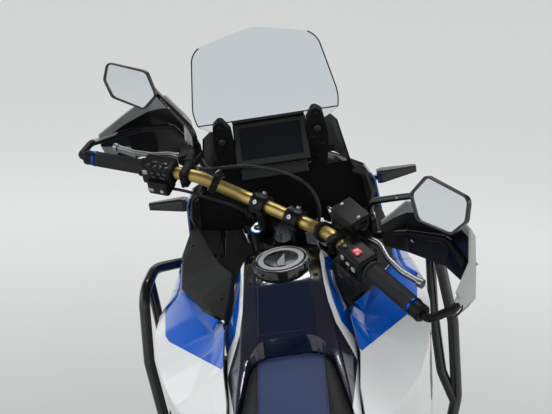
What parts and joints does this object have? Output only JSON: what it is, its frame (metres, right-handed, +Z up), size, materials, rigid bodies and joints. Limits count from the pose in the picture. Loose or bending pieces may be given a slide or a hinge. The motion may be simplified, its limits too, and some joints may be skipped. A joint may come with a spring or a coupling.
{
  "type": "adventure motorcycle",
  "caption": "Tall two-wheeled motorcycle on its side stand, with wire wheels, a chain drive, a wide tank, crash bars, hand guards and a high windscreen.",
  "frame": {"origin": "the middle of the whole object's box in plan, on the floor that both tyres and the stand touch", "axes": "+X forward along the machine, +Y to the rider's left, +Z up; the machine leans to its left (+Y) on the side stand"},
  "size_m": [2.2445, 0.9438, 1.4951],
  "materials": {
    "axle_steel": "turned",
    "black_alloy": "black anodised, satin",
    "blue_paint": "gloss blue with white and red stripes",
    "brushed_alloy": "brushed",
    "cable_sheath": "black sheath",
    "caliper_paint": "satin black",
    "cap_alloy": "satin",
    "cast_alloy": "die-cast, satin",
    "chain_steel": "gold-tinted plates",
    "champagne_anodised": "champagne anodised, fine brushed",
    "clear_screen": "clear polycarbonate",
    "disc_steel": "ground in rings",
    "display_glass": "dark glossy display",
    "engine_paint": "semi-matt black",
    "exhaust_steel": "heat-tinted stainless",
    "frame_paint": "gloss black",
    "gold_anodised": "gold anodised, satin",
    "guard_plastic": "pale silver grey",
    "lamp_lens": "clear lens over chrome reflectors",
    "lever_alloy": "polished",
    "mirror_shell": "gloss black",
    "navy_paint": "gloss metallic navy",
    "radiator_alloy": "black finned core",
    "red_paint": "gloss red",
    "seat_vinyl": "grained vinyl, slate navy with black sides",
    "signal_lens": "amber lens on a black stalk",
    "silencer_steel": "satin stainless",
    "soft_rubber": "ribbed, matt",
    "spring_paint": "red spring on a dark damper",
    "sprocket_steel": "zinc plated",
    "stainless_wire": "polished wire",
    "switch_plastic": "fine grain",
    "tail_lens": "red lens",
    "textured_plastic": "grained black",
    "tyre_rubber": "matt moulded rubber",
    "white_paint": "gloss white with blue panels"
  },
  "bodies": {
    "front_wheel": {"front_tyre": "tyre_rubber", "front_rim": "gold_anodised", "front_hub": "cast_alloy", "front_spokes": "stainless_wire", "front_discs": "disc_steel"},
    "rear_wheel": {"rear_tyre": "tyre_rubber", "rear_rim": "gold_anodised", "rear_hub": "cast_alloy", "rear_spokes": "stainless_wire", "rear_disc": "disc_steel", "rear_sprocket": "sprocket_steel"},
    "frame": {"chain": "chain_steel", "front_sprocket": "sprocket_steel", "main_frame": "frame_paint", "subframe": "red_paint", "crankcase": "engine_paint", "cylinders": "engine_paint", "radiators": "radiator_alloy", "skid_plate": "brushed_alloy", "exhaust_pipes": "exhaust_steel", "silencer": "silencer_steel", "fuel_tank": "navy_paint", "side_shrouds": "blue_paint", "inner_panels": "textured_plastic", "nose_fairing": "white_paint", "headlights": "lamp_lens", "cockpit_trim": "textured_plastic", "windscreen": "clear_screen", "instrument_housing": "textured_plastic", "instrument_screen": "display_glass", "turn_signals": "signal_lens", "rider_seat": "seat_vinyl", "passenger_seat": "seat_vinyl", "tail_fairing": "white_paint", "tail_lamp": "tail_lens", "plate_holder": "textured_plastic", "rear_rack": "black_alloy", "swingarm": "cast_alloy", "swingarm_spindle": "axle_steel", "rear_axle": "axle_steel", "rear_caliper": "caliper_paint", "shock_absorber": "spring_paint", "crash_bars": "frame_paint", "cockpit_stay": "frame_paint", "footpegs": "cast_alloy"},
    "steering": {"handlebar": "champagne_anodised", "grips": "soft_rubber", "switchgear": "switch_plastic", "control_levers": "lever_alloy", "triple_clamps": "black_alloy", "fork_tubes": "gold_anodised", "fork_legs": "cast_alloy", "front_axle": "axle_steel", "front_calipers": "caliper_paint", "front_fender": "textured_plastic", "hand_guards": "guard_plastic", "cables": "cable_sheath", "mirrors": "mirror_shell"},
    "fuel_cap": {"fuel_cap": "cap_alloy"},
    "side_stand": {"side_stand": "frame_paint"}
  },
  "joints": [
    {"name": "steering_turn", "type": "hinge", "parent": "frame", "child": "steering", "pos_m": [0.77418, -0.17522, 0.31609], "axis": [-0.4628, 0.1919, 0.8654], "range_deg": [0, 82]},
    {"name": "front_wheel_turn", "type": "hinge", "parent": "steering", "child": "front_wheel", "pos_m": [0.81465, -0.2094, 0.34531], "axis": [0.5816, 0.8025, 0.1331], "continuous": true},
    {"name": "rear_wheel_turn", "type": "hinge", "parent": "frame", "child": "rear_wheel", "pos_m": [-0.74718, -0.17261, 0.32786], "axis": [0, 0.9763, -0.2164], "continuous": true},
    {"name": "side_stand_turn", "type": "hinge", "parent": "frame", "child": "side_stand", "pos_m": [-0.09713, -0.02836, 0.25778], "axis": [0.0514, 0.9385, 0.3414], "range_deg": [0, 96]},
    {"name": "fuel_cap_turn", "type": "hinge", "parent": "frame", "child": "fuel_cap", "pos_m": [0.2433, -0.00926, 1.06472], "axis": [0, 0.9763, -0.2164], "range_deg": [0, 100]}
  ]
}
